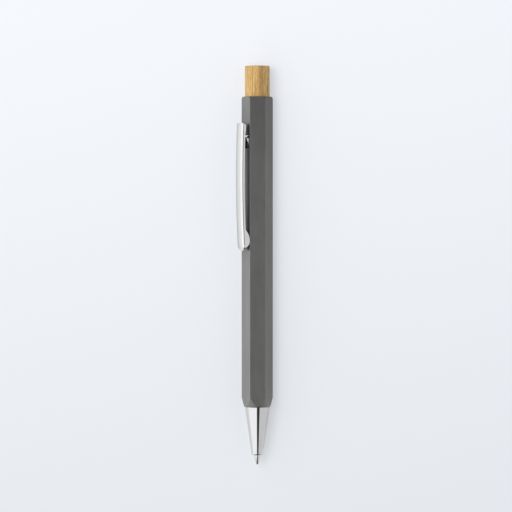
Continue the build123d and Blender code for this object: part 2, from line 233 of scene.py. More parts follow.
class Graph:
    """Node tree of one material or world, with one method that adds any node."""

    def __init__(self, tree: bpy.types.NodeTree) -> None:
        """Empties the tree."""
        self.tree = tree
        tree.nodes.clear()

    def node(
        self,
        kind: str,
        settings: dict[str, Any] | None = None,
        inputs: dict[Any, Any] | None = None,
        output: int | str = 0,
    ) -> Value:
        """Adds a node, sets it up and feeds it.

        Args:
            kind: Blender's name of the node's type.
            settings: Properties that are set first.
            inputs: Values, links or numbers by the socket's name or place.
            output: The output socket that the result stands for.

        Returns:
            The chosen output.
        """
        node = self.tree.nodes.new(kind)
        for name, setting in (settings or {}).items():
            setattr(node, name, setting)
        for key, item in (inputs or {}).items():
            if isinstance(item, Value):
                self.tree.links.new(item.socket, node.inputs[key])
            else:
                node.inputs[key].default_value = item
        return Value(self, node.outputs[output] if node.outputs else None)

    def place(self, stretch: tuple[float, float, float] = (1.0, 1.0, 1.0)) -> Value:
        """Gives the piece's own coordinates.

        Args:
            stretch: Pattern units per millimetre along X, Y and Z.

        Returns:
            The coordinates, centred on the pen's axis.
        """
        coordinates = self.node("ShaderNodeTexCoord", output="Object")
        centred = self.node("ShaderNodeVectorMath", {"operation": "SUBTRACT"}, {0: coordinates, 1: PEN_AXIS * MM})
        scale = tuple(share / MM for share in stretch)
        return self.node("ShaderNodeMapping", inputs={"Vector": centred, "Scale": scale})

    def axis(self, name: str) -> Value:
        """Gives the piece's own coordinate along X, Y or Z, in millimetres."""
        return self.node("ShaderNodeSeparateXYZ", {}, {0: self.place()}, name)

    def ray(self, kind: str) -> Value:
        """Tells whether a ray is of a kind that the Light Path node names."""
        return self.node("ShaderNodeLightPath", output=kind)

    def noise(self, pattern: Pattern) -> Value:
        """Lays a pattern on the piece's own coordinates.

        Args:
            pattern: The pattern.

        Returns:
            Noise about its mean, or the mask that it becomes.
        """
        settings = {"Scale": 1.0, "Detail": pattern.detail, "Distortion": pattern.distortion}
        noise = self.node("ShaderNodeTexNoise", {}, {"Vector": self.place(pattern.stretch), **settings})
        return noise.step(*pattern.climb) if pattern.climb else noise

    def mix(self, share: Any, first: Any, second: Any, blend: str = "MIX") -> Value:
        """Mixes two colours.

        Args:
            share: Share of the second colour.
            first: Colour at share 0.
            second: Colour at share 1.
            blend: Blending mode of the Mix node.

        Returns:
            The mixed colour.
        """
        settings = {"data_type": "RGBA", "blend_type": blend}
        return self.node("ShaderNodeMix", settings, {0: share, 6: first, 7: second}, 2)

    def bump(self, height: Value, depth: float, strength: float) -> Value:
        """Turns a height into a normal.

        Args:
            height: Height from 0 to 1.
            depth: Depth of the relief in millimetres.
            strength: Share of the effect.

        Returns:
            The bent normal.
        """
        inputs = {"Strength": strength, "Distance": depth * MM, "Height": height}
        return self.node("ShaderNodeBump", {}, inputs)

    def surface(self, shader: Value) -> None:
        """Sends a shader to the material's or the world's output.

        Args:
            shader: The shader.
        """
        is_world = isinstance(self.tree.id_data, bpy.types.World)
        kind = "ShaderNodeOutputWorld" if is_world else "ShaderNodeOutputMaterial"
        self.node(kind, {}, {"Surface": shader})


# Finishes


def new_material(name: str) -> tuple[bpy.types.Material, Graph]:
    """Makes a material and opens its node tree.

    Args:
        name: Name of the material.

    Returns:
        The material and its empty graph.
    """
    made = bpy.data.materials.new(name)
    made.use_nodes = True
    return made, Graph(made.node_tree)


@dataclass(frozen=True)
class Finish:
    """A surface finish, which paints its material once."""

    slot: Slot

    def paint(self, graph: Graph) -> dict[str, Any]:
        """Builds what feeds the Principled shader, by the sockets' names."""
        raise NotImplementedError

    def material(self, side: str = "outside") -> bpy.types.Material:
        """Gives the finish's material, which is made at the first call.

        Args:
            side: The side of the sheet that it covers, where two sides differ.

        Returns:
            The material.
        """
        if (self, side) not in MADE:
            MADE[self, side], graph = new_material(f"{self.slot.value}_{side}")
            graph.surface(graph.node("ShaderNodeBsdfPrincipled", {}, self.paint(graph)))
        return MADE[self, side]


MADE: dict[tuple[Finish, str], bpy.types.Material] = {}


@dataclass(frozen=True)
class SatinAnodised(Finish):
    """Dark grey anodised aluminium, blasted to a fine satin before the bath."""

    slot: Slot = Slot.ALUMINIUM
    shade: Colour = (0.286, 0.286, 0.282, 1.0)
    pale_shade: Colour = (0.319, 0.319, 0.314, 1.0)
    cloud: Pattern = Pattern((0.22, 0.05, 0.22), 3.0, climb=(0.3, 0.7))
    # Painted shade: shares and reaches by which the base colour is darkened at the back end and on the turned faces.
    back_painted_shade: float = 0.16
    back_painted_shade_reach: tuple[float, float] = (10.0, 54.0)
    turned_painted_shade: float = 0.22
    turned_reach: tuple[float, float] = (0.03, 0.1)
    flat_turns: tuple[float, ...] = (30.0, 90.0, 150.0)
    roughness: float = 0.36
    blast: Pattern = Pattern((14.0, 14.0, 14.0), 3.0)
    blast_roughness: float = 0.06
    blast_depth: float = 0.0025
    blast_strength: float = 0.5
    handling: Pattern = Pattern((0.9, 0.35, 0.9), 4.0, 0.6, (0.5, 0.75))
    handled_gloss: float = 0.05

    def paint(self, graph: Graph) -> dict[str, Any]:
        """Builds grain, a cloudy tone, painted shade on the back end and on turned faces, and faint handling marks.

        Args:
            graph: The material's node tree.

        Returns:
            What feeds the Principled shader, by the sockets' names.
        """
        blast = graph.noise(self.blast)
        nearest: Any = 0.0
        for turn in map(math.radians, self.flat_turns):
            out = (math.cos(turn), 0.0, math.sin(turn))
            factors = {0: graph.place(), 1: out}
            height = graph.node("ShaderNodeVectorMath", {"operation": "DOT_PRODUCT"}, factors, "Value")
            nearest = abs(height).at_least(nearest)
        # Painted shade: the base colour darkens on the turned faces at the ends, away from the flats.
        turned_face = (AXIS_HEIGHT - nearest).step(*self.turned_reach)
        # Painted shade: the base colour darkens towards the back end.
        back_painted_shade_loss = self.back_painted_shade * graph.axis("Y").step(*self.back_painted_shade_reach)
        tone = graph.mix(graph.noise(self.cloud), self.shade, self.pale_shade)
        gloss = self.handled_gloss * graph.noise(self.handling)
        return {
            "Base Color": tone.scaled((1.0 - back_painted_shade_loss) * (1.0 - self.turned_painted_shade * turned_face)),
            "Metallic": 1.0,
            "Roughness": self.roughness + self.blast_roughness * (blast - NOISE_MEAN) - gloss,
            "Normal": graph.bump(blast, self.blast_depth, self.blast_strength),
        }


@dataclass(frozen=True)
class SealedBamboo(Finish):
    """Sanded bamboo with long fibres, darker vessel bundles and a thin clear seal."""

    slot: Slot = Slot.BAMBOO
    pale: Colour = srgb(214, 182, 113)
    warm: Colour = srgb(182, 139, 79)
    vessel: Colour = srgb(132, 84, 42)
    fibre: Pattern = Pattern((5.0, 0.10, 5.0), 4.0)
    band: Pattern = Pattern((0.9, 0.02, 0.9))
    bundle: Pattern = Pattern((2.6, 0.045, 2.6), 1.0, climb=(0.60, 0.72))
    hair: Pattern = Pattern((11.0, 0.16, 11.0), climb=(0.52, 0.72))
    fleck: Pattern = Pattern((6.0, 0.5, 6.0), 3.0, climb=(0.42, 0.66))
    warm_by_fibre: float = 0.4
    warm_by_band: float = 0.35
    warm_by_fleck: float = 0.25
    warm_climb: tuple[float, float] = (0.3, 0.66)
    vein_enters: tuple[float, float] = (-0.3, 1.0)
    vein_leaves: tuple[float, float] = (1.5, 2.6)
    vein_share: float = 0.4
    vein_by_fibre: float = 1.2
    bundle_share: float = 0.8
    hair_share: float = 0.4
    fleck_share: float = 0.18
    roughness: float = 0.46
    fibre_roughness: float = 0.16
    bundle_roughness: float = 0.08
    seal: float = 0.18
    seal_roughness: float = 0.28
    fibre_depth: float = 0.012
    fibre_strength: float = 0.6
    bundle_sink: float = 0.5
    hair_sink: float = 0.3

    def paint(self, graph: Graph) -> dict[str, Any]:
        """Builds fibres along the rod, bundles that are dots on the end grain, one dark vein and the seal.

        Args:
            graph: The material's node tree.

        Returns:
            What feeds the Principled shader, by the sockets' names.
        """
        fibre, bundle, hair, fleck = map(graph.noise, (self.fibre, self.bundle, self.hair, self.fleck))
        ripple = fibre - NOISE_MEAN
        across = graph.axis("X")
        warmth = self.warm_by_fibre * fibre + self.warm_by_band * graph.noise(self.band) + self.warm_by_fleck * fleck
        vein = across.step(*self.vein_enters) * (1.0 - across.step(*self.vein_leaves))
        tone = graph.mix(warmth.step(*self.warm_climb), self.pale, self.warm)
        tone = graph.mix(vein * (self.vein_share + self.vein_by_fibre * ripple), tone, self.vessel)
        tone = graph.mix(self.bundle_share * bundle, tone, self.vessel)
        height = fibre - self.bundle_sink * bundle - self.hair_sink * hair
        return {
            "Base Color": graph.mix(self.hair_share * hair + self.fleck_share * fleck, tone, self.vessel),
            "Roughness": self.roughness + self.fibre_roughness * ripple + self.bundle_roughness * bundle,
            "Coat Weight": self.seal,
            "Coat Roughness": self.seal_roughness,
            "Normal": graph.bump(height, self.fibre_depth, self.fibre_strength),
        }


@dataclass(frozen=True)
class TwoTone(Finish):
    """A finish whose tone drifts between two shades over a fine grain.

    Attributes:
        shade: The main shade.
        drift_shade: The shade that the tone drifts to.
        drift: Pattern of the drift.
        grain: Pattern of the grain.
        roughness: Roughness at the grain's mean.
        grain_roughness: Swing of the roughness with the grain.
        drift_roughness: Change of the roughness where the tone has drifted.
        relief: Depth of the grain in millimetres.
        relief_strength: Share of the relief that shows.
        metallic: Share of metal.
    """

    shade: Colour
    drift_shade: Colour
    drift: Pattern
    grain: Pattern
    roughness: float
    grain_roughness: float = 0.0
    drift_roughness: float = 0.0
    relief: float = 0.0
    relief_strength: float = 0.4
    metallic: float = 0.0

    def paint(self, graph: Graph) -> dict[str, Any]:
        """Builds the drifting tone, and gloss and relief from drift and grain.

        Args:
            graph: The material's node tree.

        Returns:
            What feeds the Principled shader, by the sockets' names.
        """
        drift, grain = graph.noise(self.drift), graph.noise(self.grain)
        roughness = self.roughness + self.grain_roughness * (grain - NOISE_MEAN)
        sockets = {
            "Base Color": graph.mix(drift, self.shade, self.drift_shade),
            "Metallic": self.metallic,
            "Roughness": roughness + self.drift_roughness * drift,
        }
        if self.relief:
            sockets["Normal"] = graph.bump(grain, self.relief, self.relief_strength)
        return sockets


@dataclass(frozen=True)
class PolishedChrome(TwoTone):
    """Bright chrome plate with faint finger smears and fine wiping scratches along the pen."""

    slot: Slot = Slot.CHROME
    shade: Colour = (0.70, 0.703, 0.708, 1.0)
    drift_shade: Colour = (0.65, 0.653, 0.658, 1.0)
    drift: Pattern = Pattern((0.5, 0.18, 0.5), 4.0, 0.8, (0.48, 0.78))
    grain: Pattern = Pattern((9.0, 0.35, 9.0))
    roughness: float = 0.045
    drift_roughness: float = 0.055
    relief: float = 0.0006
    relief_strength: float = 0.3
    metallic: float = 1.0


@dataclass(frozen=True)
class MouldedAcetal(TwoTone):
    """Moulded acetal, slightly waxy, with flow clouds and the mould's fine spark texture."""

    shade: Colour = (0.02, 0.02, 0.021, 1.0)
    drift_shade: Colour = (0.03, 0.03, 0.031, 1.0)
    drift: Pattern = Pattern((0.5, 0.25, 0.5), 3.0, 0.5, EVEN_CLIMB)
    grain: Pattern = Pattern((9.0, 9.0, 9.0))
    roughness: float = 0.42
    grain_roughness: float = 0.12
    relief: float = 0.004


@dataclass(frozen=True)
class DrawnWire(TwoTone):
    """Spring wire with the die's fine draw texture and a trace of oil in patches."""

    slot: Slot = Slot.SPRING_STEEL
    shade: Colour = (0.55, 0.55, 0.56, 1.0)
    drift_shade: Colour = (0.46, 0.45, 0.43, 1.0)
    drift: Pattern = Pattern((1.2, 0.8, 1.2), 3.0, climb=(0.4, 0.7))
    grain: Pattern = Pattern((14.0, 14.0, 14.0))
    roughness: float = 0.3
    grain_roughness: float = 0.1
    drift_roughness: float = -0.08
    relief: float = 0.002
    metallic: float = 1.0


@dataclass(frozen=True)
class TurnedTip(TwoTone):
    """Nickel silver turned on a lathe, with fine tool rings across the axis."""

    slot: Slot = Slot.TIP_METAL
    shade: Colour = (0.76, 0.76, 0.755, 1.0)
    drift_shade: Colour = (0.68, 0.68, 0.675, 1.0)
    drift: Pattern = Pattern((0.05, 9.0, 0.05), climb=EVEN_CLIMB)
    grain: Pattern = Pattern((0.05, 9.0, 0.05))
    roughness: float = 0.065
    grain_roughness: float = 0.05
    relief: float = 0.001
    relief_strength: float = 0.3
    metallic: float = 1.0


@dataclass(frozen=True)
class WetFill(TwoTone):
    """A glossy wet filling of the refill, ink or follower grease, with slow streaks along the tube."""

    shade: Colour = (0.01, 0.015, 0.09, 1.0)
    drift_shade: Colour = (0.02, 0.028, 0.15, 1.0)
    drift: Pattern = Pattern((1.5, 0.12, 1.5), 3.0, 0.4, EVEN_CLIMB)
    grain: Pattern = Pattern((1.5, 0.12, 1.5), 3.0, 0.4)
    roughness: float = 0.2
    grain_roughness: float = 0.08


@dataclass(frozen=True)
class MilkyTube(TwoTone):
    """Translucent extruded polypropylene of the refill, with die lines along the tube."""

    slot: Slot = Slot.REFILL_PLASTIC
    shade: Colour = (0.86, 0.87, 0.87, 1.0)
    drift_shade: Colour = (0.80, 0.815, 0.82, 1.0)
    drift: Pattern = Pattern((6.0, 0.02, 6.0), climb=EVEN_CLIMB)
    grain: Pattern = Pattern((6.0, 0.02, 6.0))
    roughness: float = 0.3
    grain_roughness: float = 0.1
    relief: float = 0.003
    relief_strength: float = 0.3
    refraction: float = 1.49
    clarity: float = 0.6

    def paint(self, graph: Graph) -> dict[str, Any]:
        """Lets light through the drawn plastic."""
        return {**super().paint(graph), "IOR": self.refraction, "Transmission Weight": self.clarity}


@dataclass(frozen=True)
class LappedCarbide(Finish):
    """Tungsten carbide ball, lapped, with a film of ink in patches."""

    slot: Slot = Slot.BALL_CARBIDE
    shade: Colour = (0.36, 0.36, 0.37, 1.0)
    inked: Colour = (0.03, 0.035, 0.12, 1.0)
    film: Pattern = Pattern((3.0, 3.0, 3.0), 3.0, climb=(0.5, 0.62))
    film_cover: float = 0.9
    roughness: float = 0.2
    film_roughness: float = 0.1

    def paint(self, graph: Graph) -> dict[str, Any]:
        """Builds the ink film over the lapped metal.

        Args:
            graph: The material's node tree.

        Returns:
            What feeds the Principled shader, by the sockets' names.
        """
        film = graph.noise(self.film)
        return {
            "Base Color": graph.mix(film, self.shade, self.inked),
            "Metallic": 1.0 - self.film_cover * film,
            "Roughness": self.roughness + self.film_roughness * film,
        }


CHROME = PolishedChrome()
# Painted light: the clip takes a brighter copy of the same chrome plate as the nose, so that its web renders paler.
LIT_CLIP_CHROME = PolishedChrome(shade=(0.79, 0.793, 0.797, 1.0), drift_shade=(0.74, 0.743, 0.747, 1.0))
# Painted shade: a dark, rough copy of the chrome for the inside of the clip's channel, so that the barrel's face under
# the clip mirrors it dark.
DULL_PAINTED_SHADE_CHROME = PolishedChrome(
    shade=(0.2, 0.2, 0.203, 1.0), drift_shade=(0.16, 0.16, 0.163, 1.0), roughness=0.34, drift_roughness=0.08
)
BLACK_ACETAL = MouldedAcetal(Slot.BLACK_ACETAL)
WHITE_ACETAL = MouldedAcetal(Slot.WHITE_ACETAL, (0.80, 0.80, 0.78, 1.0), (0.74, 0.74, 0.715, 1.0))
INK = WetFill(Slot.INK)
GREASE = WetFill(Slot.GREASE, (0.75, 0.74, 0.66, 1.0), (0.68, 0.67, 0.58, 1.0))


# Mesh work


@dataclass(frozen=True)
class Corner:
    """A corner of a turned profile.

    Attributes:
        radius: Distance from the pen's axis.
        y: Place along the pen.
        cut: Length that the corner's rounding takes off each of its sides.
    """

    radius: float
    y: float
    cut: float = 0.0


def round_corners(bm: bmesh.types.BMesh, verts: list[bmesh.types.BMVert], cut: float, segments: int) -> None:
    """Rounds corners of an outline.

    Args:
        bm: The mesh with the outline.
        verts: The corners.
        cut: Length that the rounding takes off each side of a corner.
        segments: Facets of each rounding.
    """
    bmesh.ops.bevel(
        bm, geom=verts, offset=cut, offset_type="OFFSET", affect="VERTICES", segments=segments, profile=0.5, material=-1
    )


def turned(profile: Sequence[Corner], steps: int, round_segments: int = 5) -> bmesh.types.BMesh:
    """Turns a closed profile round the pen's axis.

    Args:
        profile: Corners of the section on one side of the axis.
        steps: Facets round the axis.
        round_segments: Facets of each rounded corner.

    Returns:
        The closed turned mesh, in millimetres.
    """
    bm = bmesh.new()
    verts = [bm.verts.new((corner.radius, corner.y, AXIS_HEIGHT)) for corner in profile]
    for first, second in zip(verts, verts[1:] + verts[:1]):
        bm.edges.new((first, second))
    for vert, corner in zip(verts, profile):
        if corner.cut:
            round_corners(bm, [vert], corner.cut, round_segments)
    bmesh.ops.spin(
        bm, geom=bm.verts[:] + bm.edges[:], cent=PEN_AXIS, axis=ALONG, angle=FULL_TURN, steps=steps, use_merge=True
    )
    bmesh.ops.remove_doubles(bm, verts=bm.verts[:], dist=WELD)
    bmesh.ops.recalc_face_normals(bm, faces=bm.faces[:])
    return bm


def wound(
    section: Sequence[tuple[float, float]], turns: float, pitch: float, steps_per_turn: int
) -> bmesh.types.BMesh:
    """Winds a closed section round the pen's axis as a helix.

    Args:
        section: Corners of the section at the start, by radius and place along the pen.
        turns: Number of turns.
        pitch: Climb along the pen in one turn.
        steps_per_turn: Facets in one turn.

    Returns:
        The closed helix, in millimetres.
    """
    bm = bmesh.new()
    start = bm.faces.new([bm.verts.new((radius, y, AXIS_HEIGHT)) for radius, y in section])
    steps = round(turns * steps_per_turn)
    bmesh.ops.spin(
        bm, geom=[start], cent=PEN_AXIS, axis=ALONG, angle=turns * FULL_TURN, steps=steps,
        dvec=ALONG * (pitch * turns / steps),
    )
    bmesh.ops.recalc_face_normals(bm, faces=bm.faces[:])
    return bm


@dataclass(frozen=True)
class EdgeRound:
    """A live rounding of a piece's edges.

    Attributes:
        width: Width of the rounding in millimetres.
        segments: Facets of the rounding.
        angle: Least angle of an edge that is rounded, in degrees.
    """

    width: float
    segments: int
    angle: float

    def soften(self, piece: bpy.types.Object) -> None:
        """Rounds a piece's edges with a bevel.

        Args:
            piece: The piece.
        """
        bevel = piece.modifiers.new("edges", "BEVEL")
        bevel.width = self.width * MM
        bevel.segments = self.segments
        bevel.limit_method = "ANGLE"
        bevel.angle_limit = math.radians(self.angle)
        bevel.harden_normals = True
        bevel.miter_outer = "MITER_ARC"


@dataclass(frozen=True)
class Stretch:
    """A stretch between a body that holds a piece's first end and the body that the piece moves with.

    Attributes:
        held: Body that holds the first end.
        start: Point up to which the piece follows that body, in millimetres.
        end: Point from which it follows the moving body, in millimetres.
    """

    held: Body
    start: Vector
    end: Vector


def new_object(name: str, bm: bmesh.types.BMesh, material: bpy.types.Material) -> bpy.types.Object:
    """Puts a mesh into the scene.

    Args:
        name: Name of the object.
        bm: Its mesh in metres, which is freed.
        material: Its material.

    Returns:
        The object.
    """
    mesh = bpy.data.meshes.new(name)
    bm.to_mesh(mesh)
    bm.free()
    mesh.materials.append(material)
    made = bpy.data.objects.new(name, mesh)
    bpy.context.scene.collection.objects.link(made)
    return made


def hand_over(
    name: str,
    bm: bmesh.types.BMesh,
    finish: Finish,
    body: Body,
    replaced: Iterable[str] = (),
    crease: float = 32.0,
    stretch: Stretch | None = None,
) -> bpy.types.Object:
    """Makes a piece of the scene from a mesh in millimetres.

    Args:
        name: Name of the piece.
        bm: Its mesh, which is freed.
        finish: Its finish.
        body: The body that it rides on.
        replaced: CAD nodes that it stands for.
        crease: Angle in degrees above which an edge shades sharp.
        stretch: Stretch from another body; a piece that has one rides on no body.

    Returns:
        The piece.
    """
    bmesh.ops.scale(bm, vec=(MM, MM, MM), verts=bm.verts[:])
    piece = new_object(name, bm, finish.material())
    piece.data.shade_smooth()
    piece.data.set_sharp_from_angle(angle=math.radians(crease))
    if stretch:
        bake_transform(piece)
    else:
        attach(piece, body.value)
    if replaced:
        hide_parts(*replaced)
    LOG.info("%s on %s: %d faces", name, body.value, len(piece.data.polygons))
    return piece


def dress_node(node: str, finish: Finish) -> None:
    """Gives a finish to a CAD node that keeps its solid.

    Args:
        node: Name of the CAD node.
        finish: Its finish.
    """
    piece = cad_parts[node]
    piece.data.materials.clear()
    piece.data.materials.append(finish.material())
    LOG.info("%s keeps its solid, in %s", node, finish.slot.value)


# The pen's sub-assemblies


@dataclass
class Barrel:
    """Hexagonal tube with rounded corners, turned at both ends, bored, and slotted for the clip."""

    across_flats: float = 2 * AXIS_HEIGHT
    corner_radius: float = 0.12
    bore_radius: float = 3.8
    mouth_radius: float = 4.42
    mouth_depth: float = 8.3
    front_rim_radius: float = 4.68
    front_cone_length: float = 3.25
    back_rim_radius: float = 5.18
    back_cone_length: float = 0.7
    rim_break: float = 0.12
    edge_round: float = 0.06
    slot_setback: float = 13.2
    slot_length: float = 4.9
    slot_width: float = 4.8
    corner_segments: int = 4
    flat_cuts: int = 11
    crease: float = 6.9
    edges: EdgeRound = EdgeRound(0.05, 2, 13.0)
    finish: Finish = SatinAnodised()

    def build(self) -> None:
        """Builds the skin from the bore round both rims, cuts the slot and dresses the piece."""
        bm = bmesh.new()
        ring = self._section(bm)
        self._skin(bm, ring)
        self._cut_slot(bm)
        bmesh.ops.recalc_face_normals(bm, faces=bm.faces[:])
        shell = hand_over("barrel_shell", bm, self.finish, Body.BARREL, ["barrel"], crease=self.crease)
        self.edges.soften(shell)

    def slot_ends(self) -> tuple[float, float]:
        """Gives the front and the back of the clip's slot along the pen."""
        slot_back = reach_along("barrel")[1] - self.slot_setback
        return slot_back - self.slot_length, slot_back

    def _section(self, bm: bmesh.types.BMesh) -> list[bmesh.types.BMEdge]:
        """Draws the hexagon with its rounded corners and divided flats.

        Args:
            bm: The mesh that takes the section.

        Returns:
            The section's edges.
        """
        upright = Matrix.Translation(PEN_AXIS) @ Matrix.Rotation(HALF_FLAT, 4, "Y")
        bmesh.ops.create_circle(
            bm, cap_ends=True, segments=6, radius=self.across_flats / math.sqrt(3),
            matrix=upright @ Matrix.Rotation(QUARTER_TURN, 4, "X"),
        )
        round_corners(bm, bm.verts[:], self.corner_radius * math.tan(HALF_FLAT), self.corner_segments)
        bmesh.ops.delete(bm, geom=bm.faces[:], context="FACES_ONLY")
        flats = [edge for edge in bm.edges if edge.calc_length() > self.across_flats / 4]
        bmesh.ops.subdivide_edges(bm, edges=flats, cuts=self.flat_cuts)
        return bm.edges[:]

    def _stations(self) -> list[tuple[float, float | Callable[[float], float]]]:
        """Lists the skin's loops from the bore's front round both rims, and through the mouth to where they start.

        Returns:
            Each loop's greatest radius, and its place along the pen or what gives that place at a radius.
        """
        front, back = reach_along("barrel")
        corner_reach = self.across_flats / math.sqrt(3) - self.corner_radius * (2 / math.sqrt(3) - 1)
        front_slope = (self.front_cone_length - self.rim_break) / (corner_reach - self.front_rim_radius)
        back_slope = (self.back_cone_length - self.rim_break) / (corner_reach - self.back_rim_radius)
        flush_radius = self.back_rim_radius - self.rim_break
        edge = self.edge_round
        mouth_floor = back - self.mouth_depth

        def front_turn(radius: float) -> float:
            """Place where the turned front end meets the hexagon at a radius."""
            return front + self.rim_break + (radius - self.front_rim_radius) * front_slope

        def back_turn(radius: float) -> float:
            """Place where the turned back end meets the hexagon at a radius."""
            if radius < self.back_rim_radius:
                return min(back, back - (radius - flush_radius))
            return back - self.rim_break - (radius - self.back_rim_radius) * back_slope

        return [
            (self.bore_radius, front + 2 * edge),
            (self.bore_radius + 2 * edge, front),
            (self.front_rim_radius - self.rim_break, front),
            (self.front_rim_radius, front + self.rim_break),
            (math.inf, front_turn),
            (math.inf, back_turn),
            (self.back_rim_radius, back_turn),
            (flush_radius, back),
            (self.mouth_radius + edge, back),
            (self.mouth_radius, back - edge),
            (self.mouth_radius, mouth_floor),
            (self.bore_radius, mouth_floor),
            (self.bore_radius, front + 2 * edge),
        ]

    def _skin(self, bm: bmesh.types.BMesh, ring: list[bmesh.types.BMEdge]) -> None:
        """Draws the section out through all stations and closes the skin on itself.

        Args:
            bm: The mesh with the section.
            ring: The section's edges.
        """
        outline = {vert: vert.co - PEN_AXIS for edge in ring for vert in edge.verts}
        for place, (radius, along) in enumerate(self._stations()):
            if place:
                drawn = bmesh.ops.extrude_edge_only(bm, edges=ring)["geom"]
                ring = [item for item in drawn if isinstance(item, bmesh.types.BMEdge) and len(item.link_faces) == 1]
                lifted = {}
                for vert in dict.fromkeys(vert for edge in ring for vert in edge.verts):
                    root = next(edge.other_vert(vert) for edge in vert.link_edges if edge not in ring)
                    lifted[vert] = outline[root]
                outline = lifted
            for vert, spoke in outline.items():
                reach = min(spoke.length, radius)
                y = along(reach) if callable(along) else along
                vert.co = PEN_AXIS + spoke * (reach / spoke.length) + ALONG * y
        bmesh.ops.remove_doubles(bm, verts=bm.verts[:], dist=WELD)

    def _cut_slot(self, bm: bmesh.types.BMesh) -> None:
        """Cuts the clip's slot through the wall of the clip's flat.

        Args:
            bm: The closed skin.
        """
        slot_front, slot_back = self.slot_ends()
        for y in (slot_front, slot_back):
            whole = bm.verts[:] + bm.edges[:] + bm.faces[:]
            bmesh.ops.bisect_plane(bm, geom=whole, plane_co=ALONG * y, plane_no=ALONG, dist=CUT_TOLERANCE)

        def in_wall(face: bmesh.types.BMFace) -> bool:
            """Tells whether a face is on the clip's side between the slot's ends."""
            middle = face.calc_center_median()
            return slot_front < middle.y < slot_back and (middle - PEN_AXIS).dot(CLIP_OUT) > self.bore_radius / 2

        for side in Side:
            walls = [face for face in bm.faces if in_wall(face)]
            around = dict.fromkeys(item for face in walls for item in (*face.verts, *face.edges))
            slot_side = PEN_AXIS + CLIP_ACROSS * (side.value * self.slot_width / 2)
            bmesh.ops.bisect_plane(
                bm, geom=[*walls, *around], plane_co=slot_side, plane_no=CLIP_ACROSS, dist=CUT_TOLERANCE
            )
        window = [
            face for face in bm.faces
            if in_wall(face) and abs((face.calc_center_median() - PEN_AXIS).dot(CLIP_ACROSS)) < self.slot_width / 2
        ]
        bmesh.ops.delete(bm, geom=window, context="FACES")
        bmesh.ops.bridge_loops(bm, edges=[edge for edge in bm.edges if edge.is_boundary])


